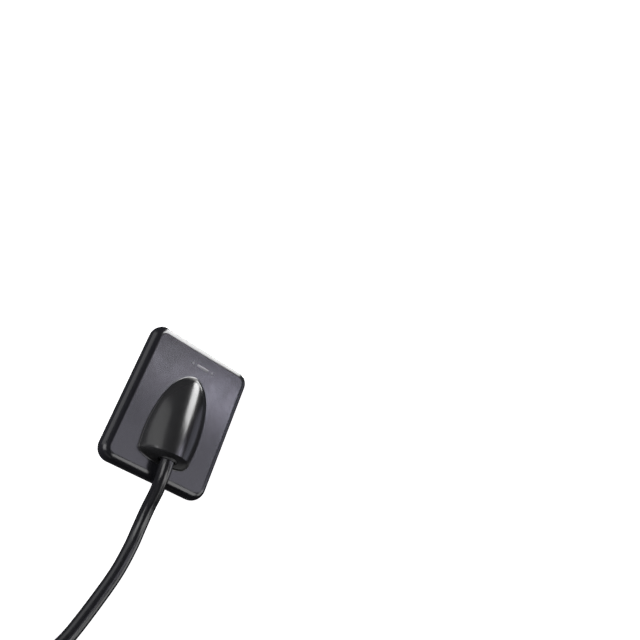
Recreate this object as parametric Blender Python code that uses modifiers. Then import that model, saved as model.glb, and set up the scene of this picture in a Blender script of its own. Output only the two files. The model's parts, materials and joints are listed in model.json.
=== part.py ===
"""Intraoral X-ray sensor: a flat rounded head with a cable dome on its back, and a USB lead.

Frame: metres. Origin at the centre of the active face, +X right, +Y towards the head's far
edge, +Z out of the back, where the cable dome stands. The lead leaves the dome towards -Y.
"""
import math

import bmesh
import bpy
from mathutils import Matrix, Vector

MM = 0.001

# Head
HEAD_WIDTH = 36.0 * MM
HEAD_LENGTH = 43.1 * MM
HEAD_THICK = 5.5 * MM
CORNER_R = 4.3 * MM
EDGE_ROUND = 2.6 * MM
WALL = 1.6 * MM
FRONT_WALL = 0.8 * MM
BACK_WALL = 1.0 * MM
SEAM_Z = 2.7 * MM
SKIRT = 0.62 * MM
LIP_INSET = 0.72 * MM
LIP_Z = 3.25 * MM
LEDGE_Z = 3.7 * MM
GAP = 0.1 * MM
CORD_GAP = 0.3 * MM

# Cable dome
DOME_TIP_Y = 11.1 * MM
DOME_END_Y = -14.1 * MM
DOME_HALF_WIDTH = 8.9 * MM
DOME_HEIGHT = 8.8 * MM
DOME_NARROWING = 0.7 * MM
DOME_PLAN_POWER = 3.2
DOME_BLUNTNESS = 1.75
DOME_RIDGE_POWER = 1.45
DOME_SECTION_POWER = 1.4
DOME_END_STEPS = (0.12, 0.35, 0.6, 0.8, 0.95)
DOME_BULGE = 2.2 * MM
DOME_WALL = 1.0 * MM

# Opening under the dome, for the conductors
SLOT_HALF_X = 4.2 * MM
SLOT_Y = (-8.6 * MM, 2.4 * MM)

# Cable
CABLE_R = 2.0 * MM
EXIT_Z = 9.3 * MM
ANCHOR_Y = -11.2 * MM
SCREW_X = 3.9 * MM

# Hank of the spare length: an oval winding drawn in at the waist, where the tie holds it
HANK_CENTRE = (0.2 * MM, -118.0 * MM)
HANK_LOOP_R = 12.1 * MM
HANK_WAIST = 2.05 * MM
HANK_FLAT = 3.0 * MM
HANK_LEG = 27.0 * MM
HANK_REACH = 6.15 * MM
HANK_LIFT = 0.9 * MM
HANK_HEIGHT = 20.1 * MM
TIE_WIDTH = 7.0 * MM
TIE_THICK = 0.65 * MM
TIE_GAP = 0.25 * MM

# Plug: local origin at the middle of the body's front face, +Y out of the plug
PLUG_AT = Vector((27.5, -80.0, 3.9)) * MM
PLUG_BODY = Vector((15.6, 22.0, 7.8)) * MM
PLUG_WALL = 1.3 * MM
BOOT_LENGTH = 14.0 * MM
USB_WIDTH = 12.0 * MM
USB_HEIGHT = 4.5 * MM
USB_REACH = 12.0 * MM
USB_WALL = 0.3 * MM
CAP_LENGTH = 13.4 * MM
CAP_WALL = 0.8 * MM
CAP_GAP = 0.22 * MM

# Route of the lead from inside the dome to the hank, and from the hank to the plug
RUN_ROUTE = [
    Vector(p) * MM
    for p in [
        (0.0, -10.6, 9.3), (0.0, -13.5, 9.3), (0.2, -16.5, 9.2), (0.9, -20.0, 8.4),
        (1.9, -24.0, 6.4), (2.6, -28.5, 4.1), (3.2, -33.6, 2.5), (3.3, -39.2, 2.0),
        (2.4, -46.3, 2.0), (0.3, -54.3, 2.0), (-2.6, -63.3, 2.0), (-4.7, -67.6, 2.0),
        (-7.0, -71.2, 2.0),
    ]
]
TAIL_ROUTE = [
    Vector(p) * MM
    for p in [
        (20.6, -148.8, 13.9), (22.9, -145.2, 11.6), (25.7, -138.2, 7.6), (27.2, -131.0, 5.0),
        (27.5, -124.5, 4.05), (27.5, -119.5, 3.9), (27.5, -110.0, 3.9), (27.5, -98.1, 3.9),
    ]
]

MATERIALS = {
    "head_plastic": ((0.075, 0.075, 0.088), 0.35, 0.0),
    "dome_plastic": ((0.035, 0.035, 0.040), 0.30, 0.0),
    "cable_jacket": ((0.020, 0.020, 0.024), 0.40, 0.0),
    "black_rubber": ((0.012, 0.012, 0.013), 0.60, 0.0),
    "plug_plastic": ((0.022, 0.022, 0.024), 0.45, 0.0),
    "foam": ((0.10, 0.10, 0.11), 0.90, 0.0),
    "scintillator": ((0.86, 0.86, 0.80), 0.50, 0.0),
    "fibre_glass": ((0.55, 0.62, 0.66), 0.10, 0.0),
    "silicon": ((0.16, 0.15, 0.20), 0.15, 0.3),
    "circuit_board": ((0.02, 0.16, 0.07), 0.50, 0.0),
    "chip_black": ((0.015, 0.015, 0.016), 0.50, 0.0),
    "ceramic": ((0.62, 0.52, 0.40), 0.50, 0.0),
    "lead_foil": ((0.35, 0.36, 0.38), 0.45, 1.0),
    "steel": ((0.62, 0.62, 0.64), 0.25, 1.0),
    "gold": ((0.85, 0.62, 0.25), 0.25, 1.0),
    "wire_red": ((0.55, 0.02, 0.02), 0.40, 0.0),
    "wire_black": ((0.02, 0.02, 0.02), 0.40, 0.0),
    "wire_green": ((0.02, 0.30, 0.06), 0.40, 0.0),
    "wire_white": ((0.80, 0.80, 0.80), 0.40, 0.0),
    "tie_fabric": ((0.03, 0.03, 0.035), 0.90, 0.0),
}
WIRES = ["wire_red", "wire_white", "wire_green", "wire_black"]


# ---- scene, materials and small tools -------------------------------------------------------

def clear_scene():
    for item in list(bpy.data.objects):
        bpy.data.objects.remove(item, do_unlink=True)


def collection(name):
    made = bpy.data.collections.new(name)
    bpy.context.scene.collection.children.link(made)
    return made


clear_scene()
PARTS = collection("intraoral_sensor")
CUTTERS = collection("cutters")


def material(name):
    found = bpy.data.materials.get(name)
    if found:
        return found
    colour, roughness, metallic = MATERIALS[name]
    made = bpy.data.materials.new(name)
    made.use_nodes = True
    shader = made.node_tree.nodes["Principled BSDF"]
    shader.inputs["Base Color"].default_value = (*colour, 1.0)
    shader.inputs["Roughness"].default_value = roughness
    shader.inputs["Metallic"].default_value = metallic
    return made


def add(name, data, slot=None, parent=None, location=(0, 0, 0)):
    """Link an object for a sub-part; without a material it is a cutter."""
    made = bpy.data.objects.new(name, data)
    made.location = location
    made.parent = parent
    if slot:
        data.materials.append(material(slot))
        PARTS.objects.link(made)
    else:
        made.hide_render = True
        made.display_type = "WIRE"
        CUTTERS.objects.link(made)
    return made


def mesh_from(bm, name, smooth=False):
    bmesh.ops.recalc_face_normals(bm, faces=bm.faces)
    mesh = bpy.data.meshes.new(name)
    bm.to_mesh(mesh)
    bm.free()
    if smooth:
        mesh.shade_smooth()
        mesh.set_sharp_from_angle(angle=math.radians(40))
    return mesh


def cut(target, cutter):
    """Take the cutter away from the target with an exact Boolean."""
    modifier = target.modifiers.new("cut_" + cutter.name, "BOOLEAN")
    modifier.operation = "DIFFERENCE"
    modifier.solver = "EXACT"
    modifier.object = cutter


def empty(name, location):
    made = bpy.data.objects.new(name, None)
    made.location = location
    PARTS.objects.link(made)
    return made


# ---- solids ---------------------------------------------------------------------------------

def rounded_slab(width, length, low, high, corner, segments=5):
    """A block with rounded upright edges, centred on Z, as a bmesh."""
    bm = bmesh.new()
    bmesh.ops.create_cube(bm, size=1.0)
    bmesh.ops.scale(bm, vec=(width, length, high - low), verts=bm.verts)
    bmesh.ops.translate(bm, vec=(0, 0, (low + high) / 2), verts=bm.verts)
    upright = [e for e in bm.edges if abs(e.verts[0].co.z - e.verts[1].co.z) > 1e-6]
    bmesh.ops.bevel(bm, geom=upright, offset=corner, segments=segments, profile=0.5,
                    affect="EDGES")
    return bm


def cap_face(bm, up):
    """The widest face that looks up or down, which a slab is stepped from."""
    level = max if up else min
    height = level(v.co.z for v in bm.verts)
    flat = [f for f in bm.faces if all(abs(v.co.z - height) < 1e-7 for v in f.verts)]
    return max(flat, key=lambda f: f.calc_area())


def step_face(bm, face, inset, rise):
    """Inset a horizontal face, then pull it along Z by rise."""
    if inset:
        bmesh.ops.inset_region(bm, faces=[face], thickness=inset, use_even_offset=True)
    if rise:
        grown = bmesh.ops.extrude_discrete_faces(bm, faces=[face])["faces"]
        face = grown[0]
        bmesh.ops.translate(bm, vec=(0, 0, rise), verts=face.verts)
    return face


def round_rim(bm, height, radius, segments=3):
    """Round the outer rim of the flat face at this height."""
    rim = []
    for edge in bm.edges:
        level = all(abs(v.co.z - height) < 1e-7 for v in edge.verts)
        if level and any(abs(f.normal.z) < 0.5 for f in edge.link_faces):
            rim.append(edge)
    bmesh.ops.bevel(bm, geom=rim, offset=radius, segments=segments, profile=0.5,
                    affect="EDGES")


def plate(name, slot, width, length, low, high, corner, hole=None, parent=None):
    """A flat sheet with rounded corners and an optional rectangular hole (x0, y0, x1, y1)."""
    made = add(name, mesh_from(rounded_slab(width, length, low, high, corner, 3), name),
               slot, parent)
    if hole:
        x0, y0, x1, y1 = hole
        size = (x1 - x0, y1 - y0, (high - low) * 3)
        centre = ((x0 + x1) / 2, (y0 + y1) / 2, (low + high) / 2)
        cut(made, block(name + "_hole", None, size, centre))
    return made


def block(name, slot, size, centre, bevel=0.0, parent=None):
    """A box from the cube primitive, with small chamfers if bevel is given."""
    bm = bmesh.new()
    bmesh.ops.create_cube(bm, size=1.0)
    bmesh.ops.scale(bm, vec=size, verts=bm.verts)
    made = add(name, mesh_from(bm, name), slot, parent, centre)
    if bevel:
        chamfer = made.modifiers.new("chamfer", "BEVEL")
        chamfer.width = bevel
        chamfer.segments = 1
    return made


def rod(name, slot, radius, start, end, sides=20, parent=None):
    """A straight cylinder between two points."""
    start, end = Vector(start), Vector(end)
    along = end - start
    bm = bmesh.new()
    bmesh.ops.create_cone(bm, cap_ends=True, segments=sides, radius1=radius, radius2=radius,
                          depth=along.length)
    turn = Vector((0, 0, 1)).rotation_difference(along).to_matrix()
    bmesh.ops.rotate(bm, cent=(0, 0, 0), matrix=turn, verts=bm.verts)
    return add(name, mesh_from(bm, name, True), slot, parent, (start + end) / 2)


def turned(name, slot, profile, location, along_y=False, steps=24, parent=None):
    """A closed ring profile of (radius, height) turned round Z, or round Y.

    The profile runs down its outer side.
    """
    bm = bmesh.new()
    points = [bm.verts.new((radius, 0, height)) for radius, height in profile]
    for a, b in zip(points, points[1:] + points[:1]):
        bm.edges.new((a, b))
    mesh = bpy.data.meshes.new(name)
    bm.to_mesh(mesh)
    bm.free()
    made = add(name, mesh, slot, parent, location)
    screw = made.modifiers.new("turn", "SCREW")
    screw.steps = steps
    screw.render_steps = steps
    screw.use_merge_vertices = True
    screw.merge_threshold = 1e-6
    if along_y:
        made.rotation_euler = (-math.pi / 2, 0, 0)
    return made


def smooth_route(points, spacing):
    """Even points along a Catmull-Rom curve through the given points."""
    ends = [points[0] * 2 - points[1]] + list(points) + [points[-1] * 2 - points[-2]]
    fine = []
    for a, b, c, d in zip(ends, ends[1:], ends[2:], ends[3:]):
        for k in range(16):
            t = k / 16
            fine.append(0.5 * (2 * b + (c - a) * t + (2 * a - 5 * b + 4 * c - d) * t ** 2
                               + (3 * b - a - 3 * c + d) * t ** 3))
    fine.append(points[-1])
    total = sum((b - a).length for a, b in zip(fine, fine[1:]))
    count = max(2, round(total / spacing))
    step = total / count
    even, walked, wanted = [fine[0]], 0.0, step
    for a, b in zip(fine, fine[1:]):
        stretch = (b - a).length
        while walked + stretch >= wanted and len(even) < count:
            even.append(a.lerp(b, (wanted - walked) / stretch))
            wanted += step
        walked += stretch
    even.append(fine[-1])
    return even


def tube(name, slot, points, radius, resolution=2, parent=None):
    """A round tube along points, as a poly curve with filled caps."""
    curve = bpy.data.curves.new(name, "CURVE")
    curve.dimensions = "3D"
    curve.bevel_depth = radius
    curve.bevel_resolution = resolution
    curve.use_fill_caps = True
    spline = curve.splines.new("POLY")
    spline.points.add(len(points) - 1)
    for slot_point, place in zip(spline.points, points):
        slot_point.co = (*place, 1.0)
    return add(name, curve, slot, parent)


def outline(name, slot, points, half, location, upright=False, parent=None):
    """A flat filled outline, thickened by half each way; upright puts it in the XZ plane."""
    curve = bpy.data.curves.new(name, "CURVE")
    curve.dimensions = "2D"
    curve.fill_mode = "BOTH"
    curve.extrude = half
    for loop in points:
        spline = curve.splines.new("POLY")
        spline.points.add(len(loop) - 1)
        for corner, (x, y) in zip(spline.points, loop):
            corner.co = (x, y, 0.0, 1.0)
        spline.use_cyclic_u = True
    made = add(name, curve, slot, parent, location)
    if upright:
        made.rotation_euler = (math.pi / 2, 0, 0)
    return made


def arc(centre, radius, start, end, count):
    """Points on an arc; angles in degrees."""
    turns = [math.radians(start + (end - start) * k / count) for k in range(count + 1)]
    return [(centre[0] + radius * math.cos(t), centre[1] + radius * math.sin(t)) for t in turns]


def rounded_rectangle(x0, y0, x1, y1, radius, count=3):
    """Corner arcs joined into one loop, anticlockwise."""
    return (arc((x1 - radius, y1 - radius), radius, 0, 90, count)
            + arc((x0 + radius, y1 - radius), radius, 90, 180, count)
            + arc((x0 + radius, y0 + radius), radius, 180, 270, count)
            + arc((x1 - radius, y0 + radius), radius, 270, 360, count))


# ---- head -----------------------------------------------------------------------------------

def front_cover():
    bm = rounded_slab(HEAD_WIDTH, HEAD_LENGTH, 0, SEAM_Z, CORNER_R)
    lip = step_face(bm, cap_face(bm, True), LIP_INSET, LIP_Z - SEAM_Z)
    step_face(bm, lip, WALL - LIP_INSET, FRONT_WALL - LIP_Z)
    bm.normal_update()
    round_rim(bm, 0.0, EDGE_ROUND, 5)
    return add("front_cover", mesh_from(bm, "front_cover", True), "head_plastic")


def back_cover():
    bm = rounded_slab(HEAD_WIDTH, HEAD_LENGTH, SEAM_Z + GAP, HEAD_THICK, CORNER_R)
    ledge = step_face(bm, cap_face(bm, False), SKIRT, LEDGE_Z - SEAM_Z - GAP)
    step_face(bm, ledge, WALL - SKIRT, HEAD_THICK - BACK_WALL - LEDGE_Z)
    bm.normal_update()
    round_rim(bm, HEAD_THICK, EDGE_ROUND, 5)
    made = add("back_cover", mesh_from(bm, "back_cover", True), "head_plastic")
    y0, y1 = SLOT_Y
    slot = rounded_slab(2 * SLOT_HALF_X, y1 - y0, 0, 3 * BACK_WALL, 1.5 * MM, 3)
    cut(made, add("wire_slot", mesh_from(slot, "wire_slot"), None, None,
                  (0, (y0 + y1) / 2, HEAD_THICK - 2 * BACK_WALL)))
    for side in (-1, 1):
        at = Vector((side * SCREW_X, ANCHOR_Y, HEAD_THICK))
        cut(made, rod(f"back_hole_{side + 2}", None, 0.65 * MM, at - Vector((0, 0, 2 * MM)),
                      at + Vector((0, 0, 1 * MM)), 12))
    return made


def seam_gasket():
    half_x, half_y = HEAD_WIDTH / 2, HEAD_LENGTH / 2
    rings = []
    for inset in (LIP_INSET + GAP, WALL - GAP):
        rings.append(rounded_rectangle(-half_x + inset, -half_y + inset, half_x - inset,
                                       half_y - inset, CORNER_R - inset, 4))
    middle = (LIP_Z + LEDGE_Z) / 2
    return outline("seam_gasket", "black_rubber", rings, (LEDGE_Z - LIP_Z) / 2 - GAP,
                   (0, 0, middle))


LAYERS = [
    # name, material, width, length, low, high, corner (mm)
    ("front_impact_pad", "foam", 31.6, 39.2, 0.88, 1.08, 2.0),
    ("scintillator_plate", "scintillator", 29.0, 37.6, 1.16, 1.46, 0.5),
    ("fibre_optic_plate", "fibre_glass", 28.6, 37.4, 1.54, 1.98, 0.4),
    ("cmos_imager", "silicon", 28.4, 37.2, 2.06, 2.30, 0.3),
    ("sensor_board", "circuit_board", 31.4, 39.4, 2.38, 2.74, 1.6),
]
COVER_LAYERS = [
    ("shield_foil", "lead_foil", 31.0, 38.8, 3.84, 3.94, 1.6),
    ("back_foam_pad", "foam", 31.4, 39.2, 4.02, 4.42, 1.8),
]
BOARD_TOP = 2.82
CHIPS = [
    # name, material, (width, length, height), (x, y) in mm
    ("image_processor", "chip_black", (8.0, 8.0, 0.80), (0.0, 12.0)),
    ("adc_chip", "chip_black", (5.0, 5.0, 0.75), (-8.5, -9.0)),
    ("memory_chip", "chip_black", (4.0, 6.0, 0.70), (9.0, 10.0)),
    ("crystal_oscillator", "steel", (3.2, 2.5, 0.70), (-9.0, 11.0)),
    ("voltage_regulator", "chip_black", (3.0, 3.0, 0.80), (8.5, -9.5)),
    ("filter_capacitor_1", "ceramic", (1.6, 0.8, 0.70), (-8.5, -3.5)),
    ("filter_capacitor_2", "ceramic", (1.6, 0.8, 0.70), (-8.5, -1.5)),
    ("filter_capacitor_3", "ceramic", (1.6, 0.8, 0.70), (8.5, -5.5)),
    ("filter_capacitor_4", "ceramic", (1.6, 0.8, 0.70), (8.5, -3.5)),
    ("wire_header", "plug_plastic", (7.0, 2.2, 0.95), (0.0, 4.4)),
]


def head_layers():
    for name, slot, *sizes in LAYERS:
        plate(name, slot, *[value * MM for value in sizes])
    hole = (-SLOT_HALF_X, SLOT_Y[0], SLOT_HALF_X, SLOT_Y[1])
    for name, slot, *sizes in COVER_LAYERS:
        plate(name, slot, *[value * MM for value in sizes], hole)
    for name, slot, size, (x, y) in CHIPS:
        centre = Vector((x, y, BOARD_TOP + size[2] / 2)) * MM
        block(name, slot, Vector(size) * MM, centre, 0.12 * MM)
    block("wire_bond_dam", "chip_black", Vector((27.0, 0.6, 0.64)) * MM,
          Vector((0, -19.05, 1.98)) * MM, 0.1 * MM)


# ---- cable dome -----------------------------------------------------------------------------

def dome_section(u, inset):
    """Half width and height of the dome at u: 0 at the cable end, 1 at the tip."""
    narrowing = DOME_NARROWING * max(0.0, 1 - u / 0.35) ** 2
    half = DOME_HALF_WIDTH * (1 - u ** DOME_PLAN_POWER) ** (1 / DOME_BLUNTNESS) - narrowing
    height = DOME_HEIGHT * math.sqrt(1 - u ** DOME_RIDGE_POWER)
    return max(half - inset, 0.02 * MM), max(height - inset, 0.02 * MM)


def dome_loft(name, slot, inset, below, bulge, end_y, rings=12, sides=16):
    """The dome's body: arched sections from its tip to its cable end, and a steep end face
    that bulges towards its foot.

    below carries the straight foot on downwards, which opens the hollow cut from a shell.
    """
    foot = HEAD_THICK + GAP
    length = DOME_TIP_Y - DOME_END_Y
    places = [math.sin(math.pi / 2 * k / rings) for k in range(rings, -1, -1)]
    tip = 1 - inset / length
    sections = []
    for u in places:
        u = min(u * tip, 0.999)
        y = max(DOME_END_Y + u * length, end_y)
        sections.append((y, *dome_section(u, inset)))
    y, half, height = sections[-1]
    for out in DOME_END_STEPS:
        if bulge:
            sections.append((y - bulge * out, half * math.sqrt(1 - out ** 2),
                             height * (1 - out ** 1.25) ** 0.8))
    bm = bmesh.new()
    loops = []
    for y, half, height in sections:
        ring = []
        for k in range(sides + 1):
            turn = math.pi * k / sides
            rise = max(math.sin(turn), 0.0) ** DOME_SECTION_POWER
            ring.append(bm.verts.new((half * math.cos(turn), y, foot + height * rise)))
        if below:
            for side in (-1, 1):
                ring.append(bm.verts.new((side * half, y, foot - below)))
        loops.append(ring)
    for low, high in zip(loops, loops[1:]):
        for k in range(len(low)):
            after = (k + 1) % len(low)
            bm.faces.new((low[k], low[after], high[after], high[k]))
    bm.faces.new(loops[0])
    bm.faces.new(loops[-1])
    return add(name, mesh_from(bm, name, True), slot)


def cable_dome():
    made = dome_loft("cable_dome", "dome_plastic", 0.0, 0.0, DOME_BULGE, DOME_END_Y)
    hollow = dome_loft("dome_hollow", None, DOME_WALL, 1.0 * MM, 0.0, DOME_END_Y + DOME_WALL)
    cut(made, hollow)
    cut(made, rod("cable_hole", None, 2.75 * MM, (0, -18 * MM, EXIT_Z), (0, -11.5 * MM, EXIT_Z),
                  24))
    return made


def cable_grommet():
    inner = CABLE_R + 0.2 * MM
    back, front, outer = -15.5 * MM, -12.9 * MM, 2.6 * MM
    profile = [(inner, front), (outer, front), (outer, back), (inner, back)]
    return turned("cable_grommet", "black_rubber", profile, (0, 0, EXIT_Z), True)


def crimp_ferrule():
    profile = [(2.12, -10.4), (2.45, -10.4), (2.45, -12.4), (2.12, -12.4)]
    profile = [(radius * MM, height * MM) for radius, height in profile]
    return turned("crimp_ferrule", "steel", profile, (0, 0, EXIT_Z), True)


def cable_anchor():
    """A cradle under the ferrule, held to the back cover by two screws."""
    half_width, top, foot = 5.0 * MM, 9.1 * MM, HEAD_THICK + GAP
    notch = 2.6 * MM
    reach = math.degrees(math.asin((EXIT_Z - top) / notch))
    groove = arc((0, EXIT_Z), notch, -180 + reach, -reach, 10)
    loop = [(-half_width, foot), (half_width, foot), (half_width, top)]
    loop += list(reversed(groove)) + [(-half_width, top)]
    bm = bmesh.new()
    back = [bm.verts.new((x, ANCHOR_Y - 0.9 * MM, z)) for x, z in loop]
    grown = bmesh.ops.extrude_face_region(bm, geom=[bm.faces.new(back)])["geom"]
    moved = [v for v in grown if isinstance(v, bmesh.types.BMVert)]
    bmesh.ops.translate(bm, vec=(0, 1.8 * MM, 0), verts=moved)
    made = add("cable_anchor", mesh_from(bm, "cable_anchor"), "steel")
    for side in (-1, 1):
        at = Vector((side * SCREW_X, ANCHOR_Y, top))
        cut(made, rod(f"anchor_hole_{side + 2}", None, 0.65 * MM,
                      (at.x, at.y, foot - 1 * MM), (at.x, at.y, top + 1 * MM), 12))
        profile = [(0, 0.75), (0.95, 0.75), (0.95, 0.1), (0.5, 0.1), (0.5, -4.4), (0, -4.4)]
        screw_body(f"anchor_screw_{1 if side < 0 else 2}",
                   [(radius * MM, height * MM) for radius, height in profile], at)
    return made


def screw_body(name, profile, at):
    """A screw: the profile runs from the axis, down the outer side, and back to the axis."""
    bm = bmesh.new()
    points = [bm.verts.new((radius, 0, height)) for radius, height in profile]
    for a, b in zip(points, points[1:]):
        bm.edges.new((a, b))
    bmesh.ops.spin(bm, geom=bm.verts[:] + bm.edges[:], cent=(0, 0, 0), axis=(0, 0, 1),
                   angle=2 * math.pi, steps=16, use_merge=True)
    bmesh.ops.remove_doubles(bm, verts=bm.verts, dist=1e-7)
    return add(name, mesh_from(bm, name, True), "steel", None, at)


def head_wires():
    """Four insulated conductors and the bare drain wire, from the cable to the header."""
    kinds = [("conductor_red", "wire_red"), ("conductor_white", "wire_white"),
             ("drain_wire", "steel"), ("conductor_green", "wire_green"),
             ("conductor_black", "wire_black")]
    for k, (name, slot) in enumerate(kinds):
        spread = k - 2
        x0, x1 = spread * 0.75 * MM, spread * 1.3 * MM
        rise = 0.35 * MM if k % 2 else -0.35 * MM
        route = [Vector((x0, -10.2 * MM, EXIT_Z + rise)),
                 Vector((x0, -8.4 * MM, EXIT_Z + rise - 0.2 * MM)),
                 Vector((x1, -5.2 * MM, 7.3 * MM)), Vector((x1, -3.0 * MM, 4.95 * MM)),
                 Vector((x1, -1.0 * MM, 3.6 * MM)), Vector((x1, 1.2 * MM, 3.27 * MM)),
                 Vector((x1, 3.15 * MM, 3.25 * MM))]
        tube(name, slot, smooth_route(route, 1.1 * MM), 0.28 * MM)


# ---- lead -----------------------------------------------------------------------------------

def hank_outline(reach, arc_steps=10, leg_steps=12):
    """The winding's plan round HANK_CENTRE, anticlockwise: the innermost turn's line, moved
    outwards by reach."""
    line = []
    for side in (1, -1):
        for k in range(leg_steps):
            y = HANK_LEG * (2 * k / leg_steps - 1)
            along = max(0.0, abs(y) - HANK_FLAT) / (HANK_LEG - HANK_FLAT)
            swell = (1 - math.cos(math.pi * along)) / 2
            x = HANK_WAIST + (HANK_LOOP_R - HANK_WAIST) * swell
            line.append(Vector((side * x, side * y)))
        for k in range(arc_steps):
            turn = math.pi * k / arc_steps
            line.append(Vector((side * HANK_LOOP_R * math.cos(turn),
                                side * (HANK_LEG + HANK_LOOP_R * math.sin(turn)))))
    moved = []
    for k, point in enumerate(line):
        along = (line[(k + 1) % len(line)] - line[k - 1]).normalized()
        moved.append(point + Vector((along.y, -along.x)) * reach)
    return moved


def lead():
    tube("cable_run", "cable_jacket", smooth_route(RUN_ROUTE, 2.4 * MM), CABLE_R, 3)
    tube("cable_tail", "cable_jacket", smooth_route(TAIL_ROUTE, 2.4 * MM), CABLE_R, 3)
    outline("cable_hank", "cable_jacket", [hank_outline(HANK_REACH)], HANK_HEIGHT / 2,
            (*HANK_CENTRE, HANK_LIFT + HANK_HEIGHT / 2))


def cable_tie():
    """A hook-and-loop strap once round the hank's waist."""
    half = HANK_WAIST + HANK_REACH + TIE_GAP
    low, high = HANK_LIFT - TIE_GAP, HANK_LIFT + HANK_HEIGHT + TIE_GAP
    loops = [rounded_rectangle(-half - TIE_THICK, low - TIE_THICK, half + TIE_THICK,
                               high + TIE_THICK, 1.4 * MM),
             rounded_rectangle(-half, low, half, high, 0.8 * MM)]
    return outline("cable_tie", "tie_fabric", loops, TIE_WIDTH / 2, (*HANK_CENTRE, 0), True)


# ---- plug -----------------------------------------------------------------------------------

def plug_shells(plug):
    width, length, height = PLUG_BODY
    for name, side in (("plug_shell_upper", 1), ("plug_shell_lower", -1)):
        low = GAP / 2 if side > 0 else -height / 2
        high = height / 2 if side > 0 else -GAP / 2
        bm = rounded_slab(width, length, low, high, 2.2 * MM, 4)
        seam = cap_face(bm, side < 0)
        step_face(bm, seam, PLUG_WALL, side * (height / 2 - PLUG_WALL))
        bm.normal_update()
        round_rim(bm, side * height / 2, 1.2 * MM, 2)
        made = add(name, mesh_from(bm, name, True), "plug_plastic", plug, (0, -length / 2, 0))
        gap = 0.15 * MM
        cut(made, block(name + "_mouth", None,
                        (USB_WIDTH + 2 * gap, 6 * MM, USB_HEIGHT + 2 * gap), (0, 0, 0), 0, plug))
        cut(made, rod(name + "_neck", None, 2.85 * MM, (0, -length - 2 * MM, 0),
                      (0, -length + 3 * MM, 0), 20, plug))


def plug_boot(plug):
    """The ribbed, tapering boot: its neck passes the shell's rear wall to a flange inside."""
    rear = -PLUG_BODY.y
    inner = CABLE_R + 0.2 * MM
    ribs = 5
    pitch = (BOOT_LENGTH - 2 * MM) / ribs
    profile = [(inner, rear - BOOT_LENGTH), (2.75 * MM, rear - BOOT_LENGTH)]
    for k in range(ribs):
        start = rear - BOOT_LENGTH + 1 * MM + k * pitch
        swell = 2.95 * MM + k * 0.16 * MM
        profile += [(swell, start), (swell, start + pitch * 0.55),
                    (swell - 0.4 * MM, start + pitch * 0.6), (swell - 0.4 * MM, start + pitch * 0.95)]
    profile += [(3.7 * MM, rear - 1 * MM), (3.7 * MM, rear - CORD_GAP), (2.7 * MM, rear - CORD_GAP),
                (2.7 * MM, rear + 1.5 * MM), (inner, rear + 1.5 * MM)]
    return turned("plug_boot", "black_rubber", profile[::-1], (0, 0, 0), True, 20, plug)


def usb_end(plug):
    inside = -4.0 * MM
    half_x, half_z = USB_WIDTH / 2, USB_HEIGHT / 2
    loops = [rounded_rectangle(-half_x, -half_z, half_x, half_z, 0.5 * MM, 2),
             rounded_rectangle(-half_x + USB_WALL, -half_z + USB_WALL, half_x - USB_WALL,
                               half_z - USB_WALL, 0.25 * MM, 2)]
    middle = (inside + USB_REACH) / 2
    outline("usb_shell", "steel", loops, (USB_REACH - inside) / 2, (0, middle, 0), True, plug)
    thick = 1.85 * MM
    floor = -half_z + USB_WALL + GAP
    block("usb_tongue", "plug_plastic", (11.1 * MM, 14.6 * MM, thick),
          (0, inside + 0.3 * MM + 7.3 * MM, floor + thick / 2), 0.15 * MM, plug)
    for k, x in enumerate((-3.5, -1.0, 1.0, 3.5)):
        block(f"usb_contact_{k + 1}", "gold", (1.0 * MM, 13.0 * MM, 0.2 * MM),
              (x * MM, inside + 0.6 * MM + 6.5 * MM, floor + thick + GAP + 0.1 * MM), 0, plug)


def plug_inside(plug):
    top = 0.5 * MM
    block("plug_board", "circuit_board", (12.0 * MM, 11.0 * MM, 1.0 * MM), (0, -9.9 * MM, 0),
          0, plug)
    block("plug_controller_chip", "chip_black", (4.0 * MM, 4.0 * MM, 0.8 * MM),
          (-1.5 * MM, -8.5 * MM, top + GAP + 0.4 * MM), 0.12 * MM, plug)
    block("plug_crystal", "steel", (2.5 * MM, 2.0 * MM, 0.7 * MM),
          (3.4 * MM, -8.5 * MM, top + GAP + 0.35 * MM), 0.12 * MM, plug)
    profile = [(2.12, -18.0), (2.5, -18.0), (2.5, -19.9), (2.12, -19.9)]
    turned("plug_ferrule", "steel", [(radius * MM, height * MM) for radius, height in profile],
           (0, 0, 0), True, 20, plug)
    for k, slot in enumerate(WIRES):
        spread = k - 1.5
        x0, x1 = spread * 0.8 * MM, spread * 1.8 * MM
        route = [Vector((x0, -17.7 * MM, 0)), Vector((x0 * 1.2, -16.8 * MM, 0.3 * MM)),
                 Vector((x1, -15.2 * MM, 0.95 * MM)), Vector((x1, -13.0 * MM, 0.95 * MM))]
        name = "plug_" + slot
        tube(name, slot, smooth_route(route, 0.8 * MM), 0.3 * MM, 2, plug)


def plug_cap():
    """A push-on cap over the metal shell; its empty lies on the axis it slides along."""
    slide = empty("cap_slide", PLUG_AT)
    outer = Vector((USB_WIDTH, 0, USB_HEIGHT)) + Vector((1, 0, 1)) * 2 * (CAP_WALL + CAP_GAP)
    start = 0.3 * MM
    bm = rounded_slab(outer.x, outer.z, 0, CAP_LENGTH, 1.4 * MM, 4)
    mouth = cap_face(bm, False)
    step_face(bm, mouth, CAP_WALL, CAP_LENGTH - 1.2 * MM)
    bm.normal_update()
    round_rim(bm, CAP_LENGTH, 0.7 * MM, 2)
    bmesh.ops.rotate(bm, cent=(0, 0, 0), matrix=Matrix.Rotation(-math.pi / 2, 3, "X"),
                     verts=bm.verts)
    return add("plug_cap", mesh_from(bm, "plug_cap", True), "plug_plastic", slide, (0, start, 0))


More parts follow.
